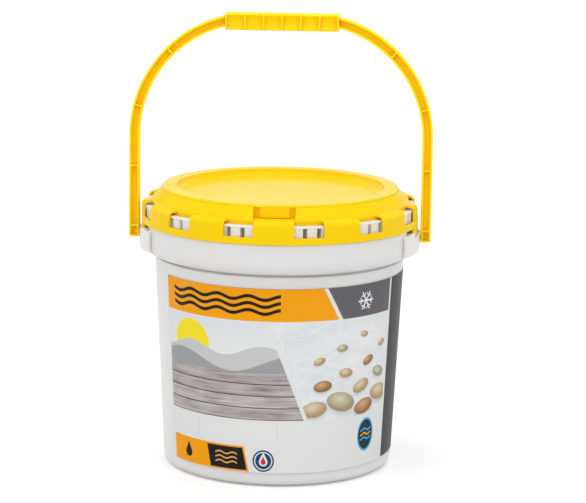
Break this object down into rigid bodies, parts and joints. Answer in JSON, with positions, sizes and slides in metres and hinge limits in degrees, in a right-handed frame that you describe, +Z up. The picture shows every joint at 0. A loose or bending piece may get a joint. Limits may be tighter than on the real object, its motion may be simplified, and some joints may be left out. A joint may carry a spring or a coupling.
{
  "type": "insulated bait bucket",
  "caption": "Round insulated bucket with a ring lid, a hinged dished hatch, a foam liner, a printed film label and a carrying bail that swings on two side ears.",
  "frame": {"origin": "centre of the base, on the floor plane", "axes": "+Z up, -Y towards the front with the finger recess, +X to the right through the right-hand ear"},
  "size_m": [0.2618, 0.2392, 0.3922],
  "materials": {
    "white_shell": "semi-gloss moulded",
    "foam": "moulded bead foam",
    "label_film": "printed film",
    "yellow_lid": "semi-gloss moulded",
    "yellow_hatch": "gloss moulded",
    "yellow_bail": "semi-gloss moulded"
  },
  "bodies": {
    "bucket": {"bucket_shell": "white_shell", "foam_liner": "foam", "label_wrap": "label_film"},
    "lid": {"lid_ring": "yellow_lid"},
    "hatch": {"access_hatch": "yellow_hatch"},
    "bail": {"bail_handle": "yellow_bail"}
  },
  "joints": [
    {"name": "bail_swing", "type": "hinge", "parent": "bucket", "child": "bail", "pos_m": [0, 0, 0.2002], "axis": [1, 0, 0], "range_deg": [-140, 140]},
    {"name": "lid_lift", "type": "slide", "parent": "bucket", "child": "lid", "axis": [0, 0, 1], "range_m": [0, 0.045]},
    {"name": "hatch_hinge", "type": "hinge", "parent": "lid", "child": "hatch", "pos_m": [0, 0.1056, 0.2394], "axis": [-1, 0, 0], "range_deg": [0, 45]}
  ]
}
